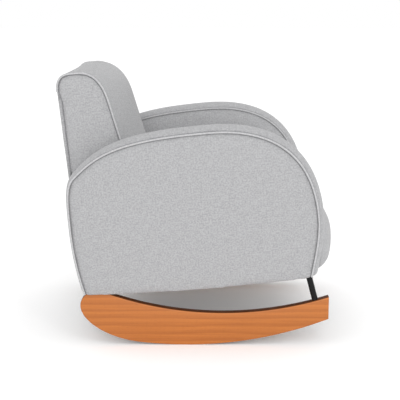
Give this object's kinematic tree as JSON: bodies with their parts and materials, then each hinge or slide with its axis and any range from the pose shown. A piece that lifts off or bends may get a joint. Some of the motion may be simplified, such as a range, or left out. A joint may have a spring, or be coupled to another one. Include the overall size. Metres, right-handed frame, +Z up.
{
  "type": "rocking chair",
  "caption": "Upholstered club rocking chair: rounded piped arms, boxed back and crowned tight seat, tipped back on curved cherry rockers with black steel front posts.",
  "frame": {"origin": "on the floor, below the middle of the chair's bounding box", "axes": "+Z up; the chair faces -Y; its right arm, the sitter's right, is at -X"},
  "size_m": [0.75, 0.8773, 0.8584],
  "materials": {
    "grey_fabric": "matte",
    "piping": "matte",
    "cherry": "satin",
    "plywood": "matte",
    "softwood": "matte",
    "black_steel": "gloss",
    "zinc_steel": "satin",
    "spring_steel": "satin",
    "felt": "matte",
    "webbing": "matte",
    "dust_cloth": "matte"
  },
  "bodies": {
    "root": {"back_left_post": "softwood", "back_left_side_panel": "grey_fabric", "back_left_welt": "piping", "back_lower_rail": "softwood", "back_right_post": "softwood", "back_right_side_panel": "grey_fabric", "back_right_welt": "piping", "back_top_rail": "softwood", "back_webbing_1": "webbing", "back_webbing_2": "webbing", "back_webbing_3": "webbing", "dust_cover": "dust_cloth", "inside_back_pad": "grey_fabric", "left_arm_bolt_1": "zinc_steel", "left_arm_bolt_2": "zinc_steel", "left_arm_bottom_rail": "softwood", "left_arm_boxing": "grey_fabric", "left_arm_front_post": "softwood", "left_arm_inner_board": "plywood", "left_arm_inner_pad": "grey_fabric", "left_arm_inner_welt": "piping", "left_arm_outer_board": "plywood", "left_arm_outer_pad": "grey_fabric", "left_arm_outer_welt": "piping", "left_arm_rear_post": "softwood", "left_front_bolt": "zinc_steel", "left_front_post": "black_steel", "left_rear_stud_1": "zinc_steel", "left_rear_stud_2": "zinc_steel", "left_rocker": "cherry", "outside_back_panel": "grey_fabric", "right_arm_bolt_1": "zinc_steel", "right_arm_bolt_2": "zinc_steel", "right_arm_bottom_rail": "softwood", "right_arm_boxing": "grey_fabric", "right_arm_front_post": "softwood", "right_arm_inner_board": "plywood", "right_arm_inner_pad": "grey_fabric", "right_arm_inner_welt": "piping", "right_arm_outer_board": "plywood", "right_arm_outer_pad": "grey_fabric", "right_arm_outer_welt": "piping", "right_arm_rear_post": "softwood", "right_front_bolt": "zinc_steel", "right_front_post": "black_steel", "right_rear_stud_1": "zinc_steel", "right_rear_stud_2": "zinc_steel", "right_rocker": "cherry", "seat_cushion": "grey_fabric", "seat_deck_pad": "felt", "seat_front_rail": "softwood", "seat_left_rail": "softwood", "seat_rear_rail": "softwood", "seat_right_rail": "softwood", "seat_spring_1": "spring_steel", "seat_spring_2": "spring_steel", "seat_spring_3": "spring_steel", "seat_spring_4": "spring_steel", "seat_spring_5": "spring_steel"}
  },
  "joints": []
}
